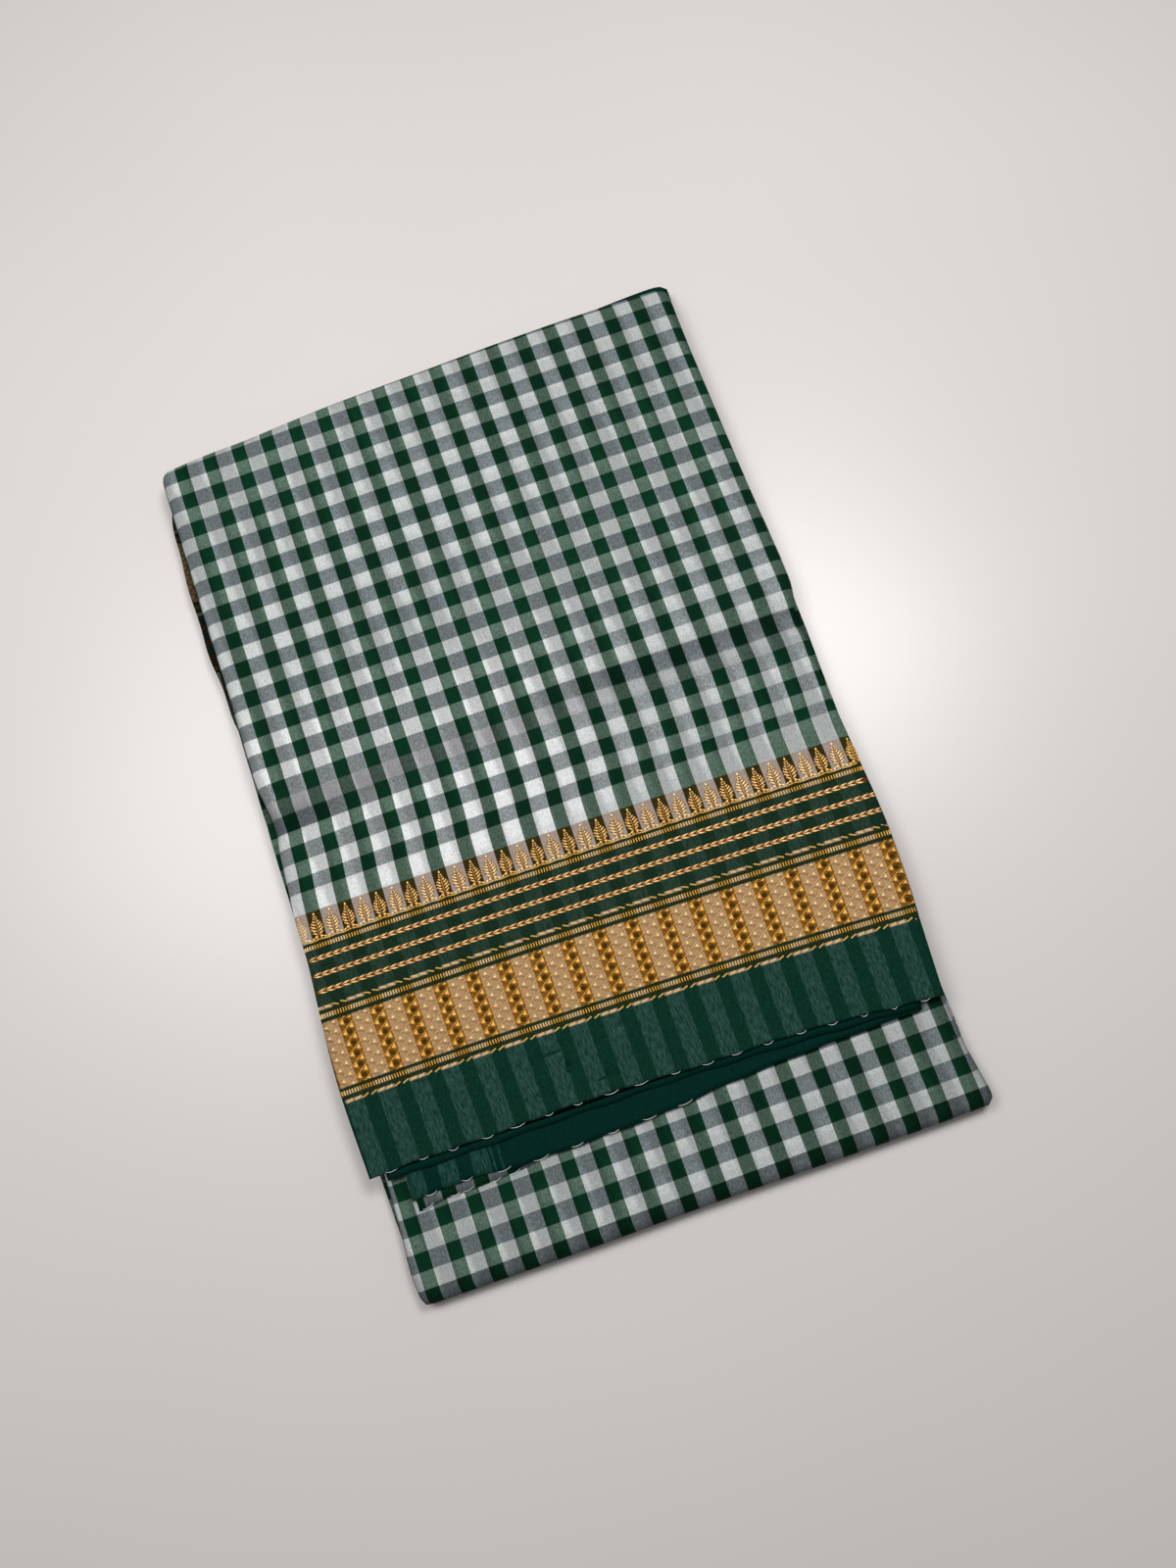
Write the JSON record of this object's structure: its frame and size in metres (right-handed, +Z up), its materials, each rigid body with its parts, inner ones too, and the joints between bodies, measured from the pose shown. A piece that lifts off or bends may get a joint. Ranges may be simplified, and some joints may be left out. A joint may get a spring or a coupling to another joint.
{
  "type": "folded saree",
  "caption": "Saree folded flat into a layered packet, checked cloth with a woven border across the front flap and plain selvedges below it.",
  "frame": {"origin": "on the resting plane under the middle of the bounding box", "axes": "+Z up out of the packet, +Y from the open foot of the front flap towards the closed top fold, +X to the right across the packet"},
  "size_m": [0.2824, 0.4344, 0.018],
  "materials": {
    "checked_cloth": "checked cotton silk in green and white, soft sheen",
    "zari_border": "woven metallic gold thread on green cloth",
    "plain_cloth": "plain dark green cotton silk with faint stripes",
    "layered_cloth": "edges of many folded layers of checked cloth"
  },
  "bodies": {
    "root": {"front_field": "checked_cloth", "front_border": "zari_border", "second_selvedge": "plain_cloth", "pallu_selvedge": "plain_cloth", "corner_selvedge": "plain_cloth", "lower_panel": "checked_cloth", "back_panel": "checked_cloth", "inner_border": "zari_border", "pallu_fold": "plain_cloth", "hidden_layers": "layered_cloth"}
  },
  "joints": []
}
